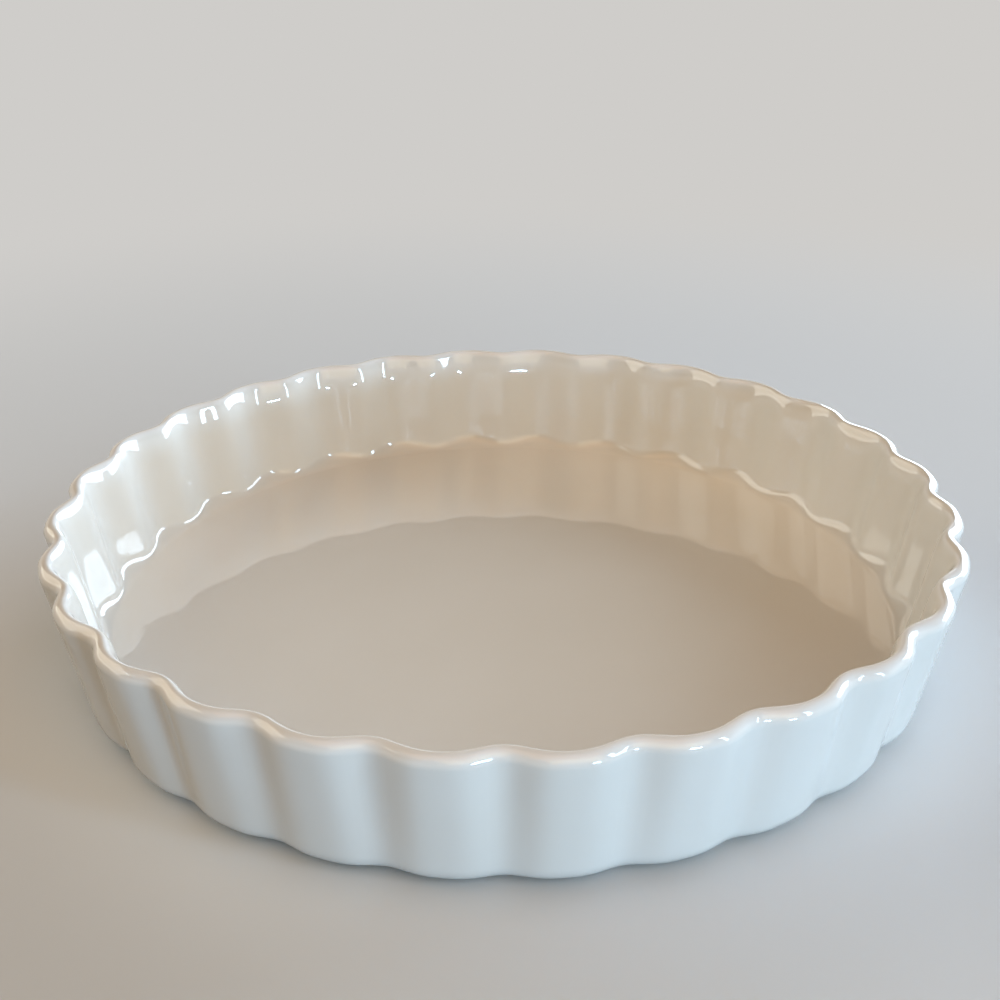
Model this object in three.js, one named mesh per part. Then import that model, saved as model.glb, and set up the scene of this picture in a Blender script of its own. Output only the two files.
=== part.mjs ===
// A round fluted baking dish: one casting of white clay under three coats of glaze.
// Millimetres, +Z up. The origin is on the table, under the middle of the dish.

import * as THREE from 'three';

// Finished sizes, measured over the glaze. Radii are to the mean of the flutes.
const HEIGHT = 44.5;
const RIM_RADIUS = 138;
const BASE_RADIUS = 132;
const WALL_THICKNESS = 5.6;
const FLOOR_TOP = 7.6;
const INSIDE_CORNER_RADIUS = 5;
const OUTSIDE_CORNER_RADIUS = 8;

// Lip: round on the outside, and on the food side part of a tall ellipse of this half height, which
// eases the wall out from well below the crest.
const LIP_OUTSIDE_RADIUS = 2.8;
const LIP_INSIDE_REACH = 24;

// Flutes, crest to groove. On the outside the crests are flat and broader than the grooves. On the
// food side the wave is even, and it grows out of the edge of the floor.
const FLUTE_COUNT = 28;
const RIM_FLUTE_DEPTH = 3.5;
const OUTSIDE_BASE_FLUTE_DEPTH = 2;
const INSIDE_BASE_FLUTE_DEPTH = 3;
const CREST_BROADENING = 0.25;

// Bare foot ring, and the shallow recess that it stands around.
const FOOT_HEIGHT = 1.2;
const FOOT_SETBACK = 6;
const FOOT_WIDTH = 5;
const FOOT_DRAFT = 0.8;
const RECESS_HEIGHT = 2;

// Glaze, and the strip beside the foot ring that is wiped clean of it.
const GLAZE_THICKNESS = 0.35;
const WIPED_MARGIN = 1.5;

// Fineness of the facets.
const STEPS_PER_FLUTE = 6;
const INSIDE_CORNER_STEPS = 3;
const INSIDE_LIP_STEPS = 3;
const OUTSIDE_LIP_STEPS = 2;
const OUTSIDE_CORNER_STEPS = 3;

// The section of the dish is made of arcs: the two halves of the lip, which meet at its crest,
// and the corners that the wall ends in. Each has its centre and its half width and half height, and
// an ellipse may slant about its top.
const crestRadius = RIM_RADIUS - LIP_OUTSIDE_RADIUS;
const outsideLip = {
  r: crestRadius,
  z: HEIGHT - LIP_OUTSIDE_RADIUS,
  across: LIP_OUTSIDE_RADIUS,
  up: LIP_OUTSIDE_RADIUS,
};
const outsideCorner = {
  r: BASE_RADIUS - OUTSIDE_CORNER_RADIUS,
  z: FOOT_HEIGHT + OUTSIDE_CORNER_RADIUS,
  across: OUTSIDE_CORNER_RADIUS,
  up: OUTSIDE_CORNER_RADIUS,
};

// The wall leans out by the slope of the line that touches both of those circles.
const rise = outsideLip.z - outsideCorner.z;
const spread = outsideLip.r - outsideCorner.r;
const wallLean = Math.atan2(spread, rise)
  - Math.asin((OUTSIDE_CORNER_RADIUS - LIP_OUTSIDE_RADIUS) / Math.hypot(spread, rise));

// The food side of the lip is an arc of an ellipse that meets the inner face of the wall. The ellipse
// stands upright in a wall that leans out, and slants with a wall that leans in.
const crestToOuterFace = LIP_OUTSIDE_RADIUS * (1 + Math.sin(wallLean));
const crestToInnerFace = (WALL_THICKNESS - crestToOuterFace) / Math.cos(wallLean);
const lipSlant = Math.tan(Math.min(wallLean, 0));
const wallSlope = Math.tan(wallLean) - lipSlant;
const insideLip = {
  r: crestRadius,
  z: HEIGHT - LIP_INSIDE_REACH,
  across: Math.sqrt(crestToInnerFace * (crestToInnerFace + 2 * wallSlope * LIP_INSIDE_REACH)),
  up: LIP_INSIDE_REACH,
  slant: lipSlant,
};

// The inside corner touches the floor and the inner face of the wall.
const insideCorner = {
  z: FLOOR_TOP + INSIDE_CORNER_RADIUS,
  across: INSIDE_CORNER_RADIUS,
  up: INSIDE_CORNER_RADIUS,
};
insideCorner.r = crestRadius - crestToInnerFace - (HEIGHT - insideCorner.z) * Math.tan(wallLean)
  - INSIDE_CORNER_RADIUS / Math.cos(wallLean);

const footOuterRadius = outsideCorner.r - FOOT_SETBACK;
const footInnerRadius = footOuterRadius - FOOT_WIDTH;

// Directions around the arcs, as angles in the section. At outerFace a circle runs along the wall.
const FLAT_DOWN = -Math.PI / 2;
const STRAIGHT_UP = Math.PI / 2;
const outerFace = -wallLean;

// The same for the inner face, around the ellipse of the lip or one within it.
function innerFaceOf({ across, up }) {
  return Math.PI - Math.atan2(up * wallSlope, across);
}

// Half the depth of the flutes at a height on the wall. It grows from the corner up to the lip.
function fluteAt(z, cornerTop, baseDepth) {
  const height = THREE.MathUtils.clamp(z, cornerTop, outsideLip.z);
  const depth = THREE.MathUtils.mapLinear(height, cornerTop, outsideLip.z, baseDepth, RIM_FLUTE_DEPTH);
  return depth / 2;
}

function outsideFluteAt(z) {
  return fluteAt(z, outsideCorner.z, OUTSIDE_BASE_FLUTE_DEPTH);
}

function insideFluteAt(z) {
  return fluteAt(z, insideCorner.z, INSIDE_BASE_FLUTE_DEPTH);
}

// A point of the section: its radius, height and half flute depth.
function point(r, z, flute = 0) {
  return { r, z, flute };
}

// An arc grown or shrunk all around, to lie at a distance from the first.
function grown(shape, distance) {
  return { ...shape, across: shape.across + distance, up: shape.up + distance };
}

// Points along an arc of the section, from one direction to another.
function arc(shape, from, to, steps, fluteOf) {
  const { slant = 0 } = shape;
  const points = [];
  for (let step = 0; step <= steps; step += 1) {
    const direction = THREE.MathUtils.lerp(from, to, step / steps);
    const z = shape.z + shape.up * Math.sin(direction);
    const r = shape.r + shape.across * Math.cos(direction) + slant * (z - shape.z - shape.up);
    points.push(point(r, z, fluteOf(z, direction)));
  }
  return points;
}

// The food side, at a depth under its finished surface: floor, corner, wall and half the lip.
function insideLine(depth) {
  const wallFlute = insideFluteAt(insideCorner.z);
  const growIn = (z, direction) => wallFlute * THREE.MathUtils.smoothstep(direction, FLAT_DOWN, outerFace);
  const corner = grown(insideCorner, depth);
  const lip = grown(insideLip, -depth);
  return [
    point(0, FLOOR_TOP - depth),
    ...arc(corner, FLAT_DOWN, outerFace, INSIDE_CORNER_STEPS, growIn),
    ...arc(lip, innerFaceOf(lip), STRAIGHT_UP, INSIDE_LIP_STEPS, insideFluteAt),
  ];
}

// The outside, at a depth under its finished surface: half the lip, wall and corner.
function outsideLine(depth) {
  const baseFlute = () => outsideFluteAt(outsideCorner.z);
  const lip = grown(outsideLip, -depth);
  const corner = grown(outsideCorner, -depth);
  return [
    ...arc(lip, STRAIGHT_UP, outerFace, OUTSIDE_LIP_STEPS, outsideFluteAt),
    ...arc(corner, outerFace, FLAT_DOWN, OUTSIDE_CORNER_STEPS, baseFlute),
  ];
}

// How much broader the crests are at a place: fully on the outside, not at all on the food side,
// and part of the way over the lip.
function broadeningAt(r, z) {
  const wallMiddle = crestRadius - (HEIGHT - z) * Math.tan(wallLean);
  const share = THREE.MathUtils.clamp((r - wallMiddle) / WALL_THICKNESS + 0.5, 0, 1);
  return CREST_BROADENING * share;
}

// How far the wall stands in or out around the dish. A groove faces straight to the front.
function fluteWave(angle, broadening) {
  const turn = FLUTE_COUNT * angle + Math.PI;
  return Math.cos(turn) - broadening * Math.cos(2 * turn);
}

// One ring of corners around the axis for each point of the section, or one corner on the axis.
function addRing(positions, { r, z, flute }) {
  const ring = [];
  const steps = r === 0 ? 1 : FLUTE_COUNT * STEPS_PER_FLUTE;
  const broadening = broadeningAt(r, z);
  for (let step = 0; step < steps; step += 1) {
    const angle = (2 * Math.PI * step) / steps;
    const reach = r === 0 ? 0 : r + flute * fluteWave(angle, broadening);
    ring.push(positions.length);
    positions.push(new THREE.Vector3(reach * Math.cos(angle), reach * Math.sin(angle), z));
  }
  return ring;
}

// The faces between two rings. Each four-cornered face is split along its shorter diagonal,
// so a coat and the clay under it have the very same facets.
function addBand(positions, triangles, from, to) {
  const steps = Math.max(from.length, to.length);
  for (let step = 0; step < steps; step += 1) {
    const a = from[step % from.length];
    const b = from[(step + 1) % from.length];
    const c = to[(step + 1) % to.length];
    const d = to[step % to.length];
    if (a === b) {
      triangles.push(a, d, c);
    } else if (c === d) {
      triangles.push(a, c, b);
    } else if (positions[a].distanceTo(positions[c]) < positions[b].distanceTo(positions[d])) {
      triangles.push(a, d, c, a, c, b);
    } else {
      triangles.push(a, d, b, d, c, b);
    }
  }
}

// Sweep a section around the axis. It runs from axis to axis, or closes on itself.
function sweep(section) {
  const positions = [];
  const triangles = [];
  const rings = section.map((place) => addRing(positions, place));
  for (let index = 1; index < rings.length; index += 1) {
    addBand(positions, triangles, rings[index - 1], rings[index]);
  }
  const last = rings[rings.length - 1];
  if (last.length > 1) {
    addBand(positions, triangles, last, rings[0]);
  }
  const geometry = new THREE.BufferGeometry().setFromPoints(positions);
  geometry.setIndex(triangles);
  geometry.computeVertexNormals();
  return geometry;
}

// The fired clay: everything under the glaze, and the bare foot ring.
function clayBody() {
  const section = [
    ...insideLine(GLAZE_THICKNESS),
    ...outsideLine(GLAZE_THICKNESS).slice(1),
    point(footOuterRadius + FOOT_DRAFT, FOOT_HEIGHT + GLAZE_THICKNESS),
    point(footOuterRadius, 0),
    point(footInnerRadius, 0),
    point(footInnerRadius - FOOT_DRAFT, RECESS_HEIGHT + GLAZE_THICKNESS),
    point(0, RECESS_HEIGHT + GLAZE_THICKNESS),
  ];
  return sweep(section);
}

// The coat on the food side, up to the crest of the lip.
function insideGlaze() {
  return sweep([...insideLine(0), ...insideLine(GLAZE_THICKNESS).reverse()]);
}

// The coat on the outside, from the crest of the lip to the wiped strip beside the foot ring.
function outsideGlaze() {
  const edge = footOuterRadius + FOOT_DRAFT + WIPED_MARGIN;
  const section = [
    ...outsideLine(0),
    point(edge, FOOT_HEIGHT),
    point(edge, FOOT_HEIGHT + GLAZE_THICKNESS),
    ...outsideLine(GLAZE_THICKNESS).reverse(),
  ];
  return sweep(section);
}

// The disc of glaze in the recess, inside the wiped strip.
function undersideGlaze() {
  const edge = footInnerRadius - FOOT_DRAFT - WIPED_MARGIN;
  const section = [
    point(0, RECESS_HEIGHT + GLAZE_THICKNESS),
    point(edge, RECESS_HEIGHT + GLAZE_THICKNESS),
    point(edge, RECESS_HEIGHT),
    point(0, RECESS_HEIGHT),
  ];
  return sweep(section);
}

function addPiece(group, name, geometry, color, roughness) {
  const material = new THREE.MeshStandardMaterial({ color, roughness, metalness: 0 });
  const mesh = new THREE.Mesh(geometry, material);
  mesh.name = name;
  group.add(mesh);
}

const BISCUIT_CLAY = 0xded6c8;
const BISCUIT_ROUGHNESS = 0.8;
const WHITE_GLAZE = 0xf2f1ec;
const GLAZE_ROUGHNESS = 0.1;

const dish = new THREE.Group();
addPiece(dish, 'clay_body', clayBody(), BISCUIT_CLAY, BISCUIT_ROUGHNESS);
addPiece(dish, 'inside_glaze', insideGlaze(), WHITE_GLAZE, GLAZE_ROUGHNESS);
addPiece(dish, 'outside_glaze', outsideGlaze(), WHITE_GLAZE, GLAZE_ROUGHNESS);
addPiece(dish, 'underside_glaze', undersideGlaze(), WHITE_GLAZE, GLAZE_ROUGHNESS);

export default dish;
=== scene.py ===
# A round fluted baking dish of white glazed ceramic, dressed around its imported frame.
# Lengths are metres; a size in millimetres is multiplied by MM where it is named.
import bmesh
import bpy
import math
import numpy as np
from mathutils import Matrix, Vector


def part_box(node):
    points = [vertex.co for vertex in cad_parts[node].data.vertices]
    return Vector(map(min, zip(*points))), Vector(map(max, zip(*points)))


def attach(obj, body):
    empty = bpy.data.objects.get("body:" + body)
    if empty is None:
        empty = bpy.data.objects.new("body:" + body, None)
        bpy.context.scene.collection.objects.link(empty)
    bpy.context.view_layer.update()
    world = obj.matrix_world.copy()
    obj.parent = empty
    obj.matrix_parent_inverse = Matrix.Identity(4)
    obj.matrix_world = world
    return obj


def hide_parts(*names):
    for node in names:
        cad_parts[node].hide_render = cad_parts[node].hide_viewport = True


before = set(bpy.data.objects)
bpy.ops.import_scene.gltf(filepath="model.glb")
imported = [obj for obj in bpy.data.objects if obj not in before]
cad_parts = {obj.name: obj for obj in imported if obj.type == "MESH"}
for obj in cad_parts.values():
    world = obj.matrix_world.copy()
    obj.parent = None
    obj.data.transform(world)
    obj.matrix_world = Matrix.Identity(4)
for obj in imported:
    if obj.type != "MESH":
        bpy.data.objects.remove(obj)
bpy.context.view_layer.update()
MM = 0.001

# Clay body
# One casting of white clay, fired hard: floor, fluted wall, rounded lip and foot ring.
# Glaze covers all of it but the foot ring, which stood bare on the kiln shelf.
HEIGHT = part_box("inside_glaze")[1].z
RIM_RADIUS = 138 * MM
BASE_RADIUS = 132 * MM
WALL_THICKNESS = 5.6 * MM
LIP_OUTSIDE_RADIUS = 2.8 * MM
LIP_INSIDE_REACH = 24 * MM
LIP_SUPPORT = math.radians(1)
FLOOR_TOP = 7.6 * MM
INSIDE_CORNER_RADIUS = 5 * MM
OUTSIDE_CORNER_RADIUS = 8 * MM
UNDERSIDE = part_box("outside_glaze")[0].z
FOOT_SETBACK = 6 * MM
FOOT_WIDTH = 5 * MM
FOOT_DRAFT = 0.8 * MM
FOOT_EDGE_ROUND = 0.4 * MM
RECESS_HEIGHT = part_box("underside_glaze")[0].z
GLAZE_THICKNESS = 0.35 * MM
MERGE_DISTANCE = 0.001 * MM
SHARP_EDGE = math.radians(40)

FLUTE_COUNT = 28
STEPS_PER_FLUTE = 16
RIM_FLUTE_DEPTH = 3.5 * MM
OUTSIDE_BASE_FLUTE_DEPTH = 2 * MM
INSIDE_BASE_FLUTE_DEPTH = 3 * MM
CREST_BROADENING = 0.25

crest_r = RIM_RADIUS - LIP_OUTSIDE_RADIUS
outside_lip_z = HEIGHT - LIP_OUTSIDE_RADIUS
inside_lip_z = HEIGHT - LIP_INSIDE_REACH
outside_r = BASE_RADIUS - OUTSIDE_CORNER_RADIUS
outside_z = UNDERSIDE + OUTSIDE_CORNER_RADIUS
lip_spread = crest_r - outside_r
lip_rise = outside_lip_z - outside_z
corner_excess = OUTSIDE_CORNER_RADIUS - LIP_OUTSIDE_RADIUS
wall_lean = math.atan2(lip_spread, lip_rise) - math.asin(corner_excess / math.hypot(lip_spread, lip_rise))
across = math.cos(wall_lean)
along = math.sin(wall_lean)
corner_turn = math.pi / 2 - wall_lean
lip_to_outer_face = LIP_OUTSIDE_RADIUS - (outside_lip_z - inside_lip_z) * along
lip_to_inner_face = WALL_THICKNESS - lip_to_outer_face
lip_inside_across = math.sqrt(lip_to_inner_face ** 2 - (LIP_INSIDE_REACH * along) ** 2) / across
inside_z = FLOOR_TOP + INSIDE_CORNER_RADIUS
corner_to_lip = INSIDE_CORNER_RADIUS + lip_to_inner_face + (inside_lip_z - inside_z) * along
inside_r = crest_r - corner_to_lip / across
foot_outer = outside_r - FOOT_SETBACK
foot_inner = foot_outer - FOOT_WIDTH


def begin_section(name, r, z):
    """Start a piece as one point of its section: a plane merged to its centre and moved there."""
    bpy.ops.object.select_all(action="DESELECT")
    bpy.ops.mesh.primitive_plane_add(size=WALL_THICKNESS)
    piece = bpy.context.object
    piece.name = name
    piece.data.name = name
    bpy.ops.object.mode_set(mode="EDIT")
    bpy.ops.mesh.merge(type="CENTER")
    bpy.ops.transform.translate(value=(r, 0, z))
    return piece


def line_to(r, z, steps=1):
    """Extrude the open end of the section in a straight line, in equal steps."""
    drawn = bmesh.from_edit_mesh(bpy.context.edit_object.data)
    end = next(vertex.co.copy() for vertex in drawn.verts if vertex.select)
    move = ((r - end.x) / steps, 0, (z - end.z) / steps)
    for step in range(steps):
        bpy.ops.mesh.extrude_region_move(TRANSFORM_OT_translate={"value": move})


def arc_about(r, z, turn, steps):
    """Spin the open end of the section about a centre, anticlockwise where the turn is positive."""
    bpy.ops.mesh.spin(steps=steps, angle=turn, center=(r, 0, z), axis=(0, 1, 0))


def ease_over_lip(inset, steps):
    """Extrude the open end up the inner face and over the lip's food side, to its crest."""
    width = lip_inside_across - inset
    reach = LIP_INSIDE_REACH - inset
    leave = math.atan2(reach * along, width * across)
    line_to(crest_r - width * math.cos(leave), inside_lip_z + reach * math.sin(leave), steps=5)
    arrive = math.pi / 2 - LIP_SUPPORT
    for step in range(1, steps + 1):
        turn = leave + (arrive - leave) * step / steps
        line_to(crest_r - width * math.cos(turn), inside_lip_z + reach * math.sin(turn))
    line_to(crest_r, HEIGHT - inset)


def turn_section():
    """Spin the whole section about the axis of the dish and close the seam and the middle."""
    bpy.ops.mesh.select_all(action="SELECT")
    around = FLUTE_COUNT * STEPS_PER_FLUTE
    bpy.ops.mesh.spin(steps=around, angle=2 * math.pi, center=(0, 0, 0), axis=(0, 0, 1))
    bpy.ops.mesh.select_all(action="SELECT")
    bpy.ops.mesh.remove_doubles(threshold=MERGE_DISTANCE)
    bpy.ops.mesh.normals_make_consistent(inside=False)
    bpy.ops.object.mode_set(mode="OBJECT")


def ease(value, low, high):
    """Zero below low, one above high, and a smooth step between them."""
    share = np.clip((value - low) / (high - low), 0, 1)
    return share * share * (3 - 2 * share)


def press_flutes(piece):
    """Push the wall in and out around the dish; the floor, the foot and its surround stay round."""
    place = np.empty(len(piece.data.vertices) * 3)
    piece.data.vertices.foreach_get("co", place)
    place = place.reshape(-1, 3)
    x, y, z = place.T
    r = np.hypot(x, y)
    angle = np.arctan2(y, x)
    wave_turn = FLUTE_COUNT * angle + math.pi
    wall_middle = crest_r - (HEIGHT - z) * math.tan(wall_lean)
    broadening = CREST_BROADENING * np.clip((r - wall_middle) / WALL_THICKNESS + 0.5, 0, 1)
    wave = np.cos(wave_turn) - broadening * np.cos(2 * wave_turn)
    floor_middle = (FLOOR_TOP + RECESS_HEIGHT) / 2
    food_side = (r < wall_middle) & (z > floor_middle)
    round_corner = np.arctan2(z - inside_z, r - inside_r)
    grown_inside = np.where(r > inside_r, ease(round_corner, -math.pi / 2, -wall_lean), 0)
    grown_outside = ease(r, foot_outer + FOOT_DRAFT, outside_r)
    depth_inside = np.interp(z, (inside_z, outside_lip_z), (INSIDE_BASE_FLUTE_DEPTH, RIM_FLUTE_DEPTH))
    depth_outside = np.interp(z, (outside_z, outside_lip_z), (OUTSIDE_BASE_FLUTE_DEPTH, RIM_FLUTE_DEPTH))
    grown = np.where(food_side, grown_inside * depth_inside, grown_outside * depth_outside)
    stretch = 1 + grown / 2 * wave / np.maximum(r, MM)
    place[:, 0] *= stretch
    place[:, 1] *= stretch
    piece.data.vertices.foreach_set("co", place.ravel())
    piece.data.update()


def select_only(piece):
    """Make a piece the one selected and active object."""
    bpy.ops.object.select_all(action="DESELECT")
    piece.select_set(True)
    bpy.context.view_layer.objects.active = piece


def smooth(piece):
    """Shade the piece smooth, with its real edges kept sharp."""
    select_only(piece)
    bpy.ops.object.shade_smooth_by_angle(angle=SHARP_EDGE)


clay_floor = FLOOR_TOP - GLAZE_THICKNESS
clay_lip = LIP_OUTSIDE_RADIUS - GLAZE_THICKNESS
clay_corner = OUTSIDE_CORNER_RADIUS - GLAZE_THICKNESS
clay_recess = RECESS_HEIGHT + GLAZE_THICKNESS

clay = begin_section("fired_clay", 0, clay_floor)
line_to(inside_r, clay_floor, steps=3)
arc_about(inside_r, inside_z, corner_turn, steps=10)
ease_over_lip(GLAZE_THICKNESS, steps=10)
arc_about(crest_r, outside_lip_z, -math.pi / 2 - wall_lean, steps=8)
line_to(outside_r + clay_corner * across, outside_z - clay_corner * along, steps=4)
arc_about(outside_r, outside_z, -corner_turn, steps=8)
line_to(foot_outer + FOOT_DRAFT, UNDERSIDE + GLAZE_THICKNESS, steps=2)
line_to(foot_outer + FOOT_DRAFT * FOOT_EDGE_ROUND / UNDERSIDE, FOOT_EDGE_ROUND)
line_to(foot_outer - FOOT_EDGE_ROUND, 0)
line_to(foot_inner + FOOT_EDGE_ROUND, 0)
line_to(foot_inner - FOOT_DRAFT * FOOT_EDGE_ROUND / RECESS_HEIGHT, FOOT_EDGE_ROUND)
line_to(foot_inner - FOOT_DRAFT, clay_recess)
line_to(0, clay_recess, steps=2)
turn_section()
press_flutes(clay)
smooth(clay)


def linear(colour):
    """A linear colour, with alpha, from an sRGB hex value."""
    channels = [int(colour[start:start + 2], 16) / 255 for start in (1, 3, 5)]
    return [c / 12.92 if c <= 0.04045 else ((c + 0.055) / 1.055) ** 2.4 for c in channels] + [1]


def add_node(tree, kind, inputs=None, **settings):
    """Add a node, set it, and give each named input a value or a link."""
    node = tree.nodes.new(kind)
    for name, value in settings.items():
        setattr(node, name, value)
    for name, value in (inputs or {}).items():
        if isinstance(value, bpy.types.NodeSocket):
            tree.links.new(value, node.inputs[name])
        else:
            node.inputs[name].default_value = value
    return node


def mix_colours(tree, share, first, second):
    """A mix of two colours: the first where the share is zero, the second where it is one."""
    return add_node(tree, "ShaderNodeMix", {0: share, 6: first, 7: second}, data_type="RGBA").outputs[2]


def new_material(name):
    """A material with an empty tree, its shader and the piece's own coordinates."""
    material = bpy.data.materials.new(name)
    material.use_nodes = True
    tree = material.node_tree
    tree.nodes.clear()
    shader = add_node(tree, "ShaderNodeBsdfPrincipled")
    add_node(tree, "ShaderNodeOutputMaterial", {"Surface": shader.outputs["BSDF"]})
    coordinates = add_node(tree, "ShaderNodeTexCoord").outputs["Object"]
    return material, tree, shader, coordinates


# Fired clay without glaze is matt and slightly warm, with a fine grit that the shelf has rubbed.
CLAY_PALE = "#E2D8C6"
CLAY_DARK = "#CDBFA8"
CLAY_PATCH = 9 * MM
CLAY_GRIT = 0.6 * MM
CLAY_GRIT_HEIGHT = 0.02 * MM
CLAY_ROUGHNESS = 0.85
CLAY_IOR = 1.5

biscuit, tree, shader, coordinates = new_material("biscuit_fired_clay")
patches = add_node(tree, "ShaderNodeTexNoise", {"Vector": coordinates, "Scale": 1 / CLAY_PATCH, "Detail": 4})
tone = mix_colours(tree, patches.outputs["Fac"], linear(CLAY_PALE), linear(CLAY_DARK))
grit = add_node(tree, "ShaderNodeTexNoise", {"Vector": coordinates, "Scale": 1 / CLAY_GRIT, "Detail": 3})
relief = add_node(tree, "ShaderNodeBump", {"Height": grit.outputs["Fac"], "Distance": CLAY_GRIT_HEIGHT})
tree.links.new(tone, shader.inputs["Base Color"])
tree.links.new(relief.outputs["Normal"], shader.inputs["Normal"])
shader.inputs["Roughness"].default_value = CLAY_ROUGHNESS
shader.inputs["IOR"].default_value = CLAY_IOR

clay.data.materials.append(biscuit)
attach(clay, "root")
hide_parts("clay_body")

# Inside glaze
# The coat of white glaze on the food side, poured in and swirled up to the crest of the lip.
# It is glassy and a little wavy, with a painted highlight that makes the crest of the lip palest.


def coat_with_thickness(piece):
    """Give a surface the thickness of the glaze, inwards from its face."""
    select_only(piece)
    bpy.ops.object.modifier_add(type="SOLIDIFY")
    coat = piece.modifiers[-1]
    coat.thickness = GLAZE_THICKNESS
    coat.offset = -1
    coat.use_even_offset = True
    bpy.ops.object.modifier_apply(modifier=coat.name)


inside = begin_section("inside_coat", 0, FLOOR_TOP)
line_to(inside_r, FLOOR_TOP, steps=6)
arc_about(inside_r, inside_z, corner_turn, steps=12)
ease_over_lip(0, steps=14)
turn_section()
press_flutes(inside)
coat_with_thickness(inside)
smooth(inside)

GLAZE_WHITE = "#EDEAE4"
GLAZE_SHADE = "#E7E3DB"
# The lip colour is a painted highlight: the crest is painted paler than the walls for the light it catches.
GLAZE_LIP_HIGHLIGHT = "#F3F0EB"
GLAZE_SHADE_WIDTH = 40 * MM
GLAZE_LIP_HIGHLIGHT_BAND = 2.2 * MM
GLAZE_WAVE = 17 * MM
GLAZE_WAVE_HEIGHT = 0.05 * MM
GLAZE_PEEL = 3 * MM
GLAZE_PEEL_HEIGHT = 0.003 * MM
GLAZE_ROUGHNESS = 0.03
GLAZE_IOR = 1.8


def glaze_material(name):
    """Glossy white glaze: even and glassy, with a faint wave from the firing and a painted highlight that
    makes the lip paler.
    """
    material, tree, shader, coordinates = new_material(name)
    shades = add_node(tree, "ShaderNodeTexNoise", {"Vector": coordinates, "Scale": 1 / GLAZE_SHADE_WIDTH})
    body = mix_colours(tree, shades.outputs["Fac"], linear(GLAZE_WHITE), linear(GLAZE_SHADE))
    height = add_node(tree, "ShaderNodeSeparateXYZ", {"Vector": coordinates}).outputs["Z"]
    # Band at the crest where the painted highlight on the lip blends in.
    lip = add_node(
        tree,
        "ShaderNodeMapRange",
        {"Value": height, "From Min": HEIGHT - GLAZE_LIP_HIGHLIGHT_BAND, "From Max": HEIGHT},
        interpolation_type="SMOOTHSTEP",
    )
    colour = mix_colours(tree, lip.outputs["Result"], body, linear(GLAZE_LIP_HIGHLIGHT))
    wave = add_node(tree, "ShaderNodeTexNoise", {"Vector": coordinates, "Scale": 1 / GLAZE_WAVE, "Detail": 1})
    swell = add_node(tree, "ShaderNodeBump", {"Height": wave.outputs["Fac"], "Distance": GLAZE_WAVE_HEIGHT})
    peel = add_node(tree, "ShaderNodeTexNoise", {"Vector": coordinates, "Scale": 1 / GLAZE_PEEL, "Detail": 1})
    skin = add_node(
        tree,
        "ShaderNodeBump",
        {"Height": peel.outputs["Fac"], "Distance": GLAZE_PEEL_HEIGHT, "Normal": swell.outputs["Normal"]},
    )
    tree.links.new(colour, shader.inputs["Base Color"])
    tree.links.new(skin.outputs["Normal"], shader.inputs["Normal"])
    shader.inputs["Roughness"].default_value = GLAZE_ROUGHNESS
    shader.inputs["IOR"].default_value = GLAZE_IOR
    return material


inside.data.materials.append(glaze_material("white_glaze_inside"))
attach(inside, "root")
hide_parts("inside_glaze")

# Outside glaze
# The same white glaze on the outside, from the crest of the lip down the flutes and under
# the corner. A strip beside the foot ring is wiped clean before firing.
WIPED_MARGIN = 1.5 * MM

outside = begin_section("outside_coat", crest_r, HEIGHT)
arc_about(crest_r, outside_lip_z, -LIP_SUPPORT, steps=1)
arc_about(crest_r, outside_lip_z, LIP_SUPPORT - math.pi / 2 - wall_lean, steps=10)
line_to(outside_r + OUTSIDE_CORNER_RADIUS * across, outside_z - OUTSIDE_CORNER_RADIUS * along, steps=8)
arc_about(outside_r, outside_z, -corner_turn, steps=12)
line_to(foot_outer + FOOT_DRAFT + WIPED_MARGIN, UNDERSIDE, steps=3)
turn_section()
press_flutes(outside)
coat_with_thickness(outside)
smooth(outside)

outside.data.materials.append(glaze_material("white_glaze_outside"))
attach(outside, "root")
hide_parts("outside_glaze")

# Underside glaze
# A plain disc of the same glaze in the recess, inside the foot ring and its wiped strip.
# It lies flat on the clay and never touches the table.
disc_edge = foot_inner - FOOT_DRAFT - WIPED_MARGIN

underside = begin_section("underside_coat", 0, clay_recess)
line_to(disc_edge, clay_recess, steps=3)
line_to(disc_edge, RECESS_HEIGHT)
line_to(0, RECESS_HEIGHT, steps=3)
turn_section()
smooth(underside)

underside.data.materials.append(glaze_material("white_glaze_underside"))
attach(underside, "root")
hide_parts("underside_glaze")

# Studio floor
# A wide sheet of pale matt paper that the dish stands on, with a backdrop of it far around. Away
# from the dish it keeps its own tone to the eye, so that it stays even where the lamps don't reach.
FLOOR_WIDTH = 30
BACKDROP_RADIUS = 14
BACKDROP_HEIGHT = 4
BACKDROP_SIDES = 96
PAPER_ROUGHNESS = 0.9
PAPER_SPECULAR = 0.2
FLOOR_PAPER = "#D9DEE3"
FLOOR_DIM = "#9A9895"
FLOOR_AWAY = "#CFCDCA"
FLOOR_EVEN_FROM = 0.16
FLOOR_EVEN_BY = 0.6

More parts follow.
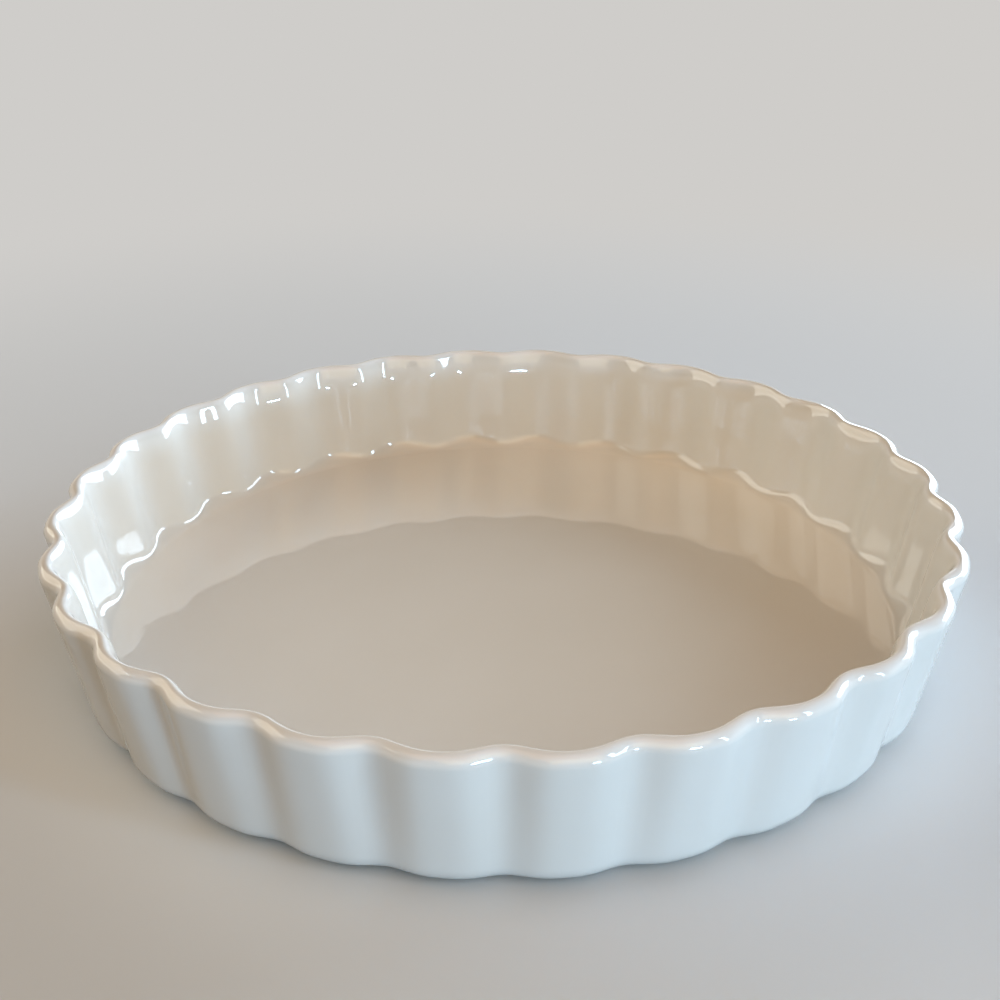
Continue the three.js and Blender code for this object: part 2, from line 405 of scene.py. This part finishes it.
bpy.ops.object.select_all(action="DESELECT")
bpy.ops.mesh.primitive_plane_add(size=FLOOR_WIDTH)
floor = bpy.context.object
floor.name = "studio_floor"
paper, tree, shader, coordinates = new_material("matt_studio_paper")
shader.inputs["Roughness"].default_value = PAPER_ROUGHNESS
shader.inputs["Specular IOR Level"].default_value = PAPER_SPECULAR
away = add_node(tree, "ShaderNodeVectorMath", {0: coordinates}, operation="LENGTH").outputs["Value"]
even = add_node(
    tree,
    "ShaderNodeMapRange",
    {"Value": away, "From Min": FLOOR_EVEN_FROM, "From Max": FLOOR_EVEN_BY},
    interpolation_type="SMOOTHSTEP",
).outputs["Result"]
light_path = add_node(tree, "ShaderNodeLightPath")
seen = light_path.outputs["Is Camera Ray"]
for kind in ("Is Glossy Ray", "Is Transmission Ray"):
    either = add_node(tree, "ShaderNodeMath", {0: seen, 1: light_path.outputs[kind]}, operation="MAXIMUM")
    seen = either.outputs["Value"]
paper_tone = mix_colours(tree, seen, linear(FLOOR_DIM), linear(FLOOR_PAPER))
tree.links.new(paper_tone, shader.inputs["Base Color"])
share = add_node(tree, "ShaderNodeMath", {0: even, 1: seen}, operation="MULTIPLY").outputs["Value"]
tone = add_node(tree, "ShaderNodeEmission", {"Color": linear(FLOOR_AWAY), "Strength": 1})
sheet = add_node(
    tree,
    "ShaderNodeMixShader",
    {0: share, 1: shader.outputs["BSDF"], 2: tone.outputs["Emission"]},
)
output = next(node for node in tree.nodes if node.type == "OUTPUT_MATERIAL")
tree.links.new(sheet.outputs["Shader"], output.inputs["Surface"])
floor.data.materials.append(paper)

bpy.ops.object.select_all(action="DESELECT")
bpy.ops.mesh.primitive_cylinder_add(
    vertices=BACKDROP_SIDES, radius=BACKDROP_RADIUS, depth=2 * BACKDROP_HEIGHT, end_fill_type="NOTHING"
)
backdrop = bpy.context.object
backdrop.name = "studio_backdrop"
backdrop.data.materials.append(paper)

# Studio light
# Cool window-like softboxes low on the right and in front, a narrow one of them for the strokes of
# light in the flutes, and warm panels to the left, in front and overhead. The room is dim, and
# darkest behind the dish, so that its glossy floor mirrors the wall and not the room.
LAMP_DISTANCE = 2.5
STRIP_DISTANCE = 1.5


def softbox(name, bearing, height, distance, size, colour, power):
    """A rectangular lamp in a direction from the dish, given in degrees, turned to face it."""
    lamp = bpy.data.lights.new(name, "AREA")
    lamp.shape = "RECTANGLE"
    lamp.size, lamp.size_y = size
    lamp.color = linear(colour)[:3]
    lamp.energy = power
    box = bpy.data.objects.new(name, lamp)
    bpy.context.scene.collection.objects.link(box)
    turn = math.radians(bearing)
    climb = math.radians(height)
    towards = Vector((math.cos(turn) * math.cos(climb), math.sin(turn) * math.cos(climb), math.sin(climb)))
    box.location = towards * distance
    box.rotation_euler = towards.to_track_quat("Z", "Y").to_euler()


softbox("right_window", 42, 14, LAMP_DISTANCE, (2.8, 1.2), "#D8EDFF", 92)
softbox("front_window", -30, 19, LAMP_DISTANCE, (0.25, 1.5), "#C4E6FF", 16)
softbox("low_strip", -58, 2.2, STRIP_DISTANCE, (0.3, 0.1), "#A8D8FF", 13)
softbox("left_panel", 165, 30, LAMP_DISTANCE, (2.6, 1.8), "#FFFDF0", 27)
softbox("front_panel", -72, 34, LAMP_DISTANCE, (2.4, 1.6), "#FFEAC4", 17)
softbox("overhead_panel", -90, 70, LAMP_DISTANCE, (2.6, 2.2), "#FFBE80", 14)

ROOM_BEHIND = "#24211D"
ROOM_IN_FRONT = "#3C3833"
ROOM_FADE_FROM = 0.3
ROOM_FADE_BY = -0.5

world = bpy.data.worlds.new("studio_room")
bpy.context.scene.world = world
world.use_nodes = True
tree = world.node_tree
tree.nodes.clear()
direction = add_node(tree, "ShaderNodeTexCoord").outputs["Generated"]
depth_ways = add_node(tree, "ShaderNodeSeparateXYZ", {"Vector": direction}).outputs["Y"]
fade = add_node(
    tree,
    "ShaderNodeMapRange",
    {"Value": depth_ways, "From Min": ROOM_FADE_FROM, "From Max": ROOM_FADE_BY},
    interpolation_type="SMOOTHSTEP",
)
room = mix_colours(tree, fade.outputs["Result"], linear(ROOM_BEHIND), linear(ROOM_IN_FRONT))
background = add_node(tree, "ShaderNodeBackground", {"Color": room, "Strength": 1})
add_node(tree, "ShaderNodeOutputWorld", {"Surface": background.outputs["Background"]})

# Camera
# It stands where the photograph was taken from, as a fit to the outline of the dish gives it.
# The lens and the sensor are in millimetres.
CAMERA_DISTANCE = 3.2246 * RIM_RADIUS
CAMERA_ELEVATION = math.radians(30.04)
CAMERA_DOWN = math.radians(25.27)
CAMERA_YAW = math.radians(-0.15)
CAMERA_ROLL = math.radians(-0.33)
CAMERA_LENS = 49.07
CAMERA_SENSOR = 36

camera_data = bpy.data.cameras.new("photo_camera")
camera_data.sensor_width = CAMERA_SENSOR
camera_data.lens = CAMERA_LENS
camera = bpy.data.objects.new("photo_camera", camera_data)
bpy.context.scene.collection.objects.link(camera)
camera.location = (
    0,
    -CAMERA_DISTANCE * math.cos(CAMERA_ELEVATION),
    CAMERA_DISTANCE * math.sin(CAMERA_ELEVATION) + UNDERSIDE,
)
turned = Matrix.Rotation(-CAMERA_YAW, 3, "Z") @ Matrix.Rotation(math.pi / 2 - CAMERA_DOWN, 3, "X")
camera.rotation_euler = (turned @ Matrix.Rotation(CAMERA_ROLL, 3, "Z")).to_euler()
bpy.context.scene.camera = camera
bpy.context.scene.view_settings.view_transform = "Standard"
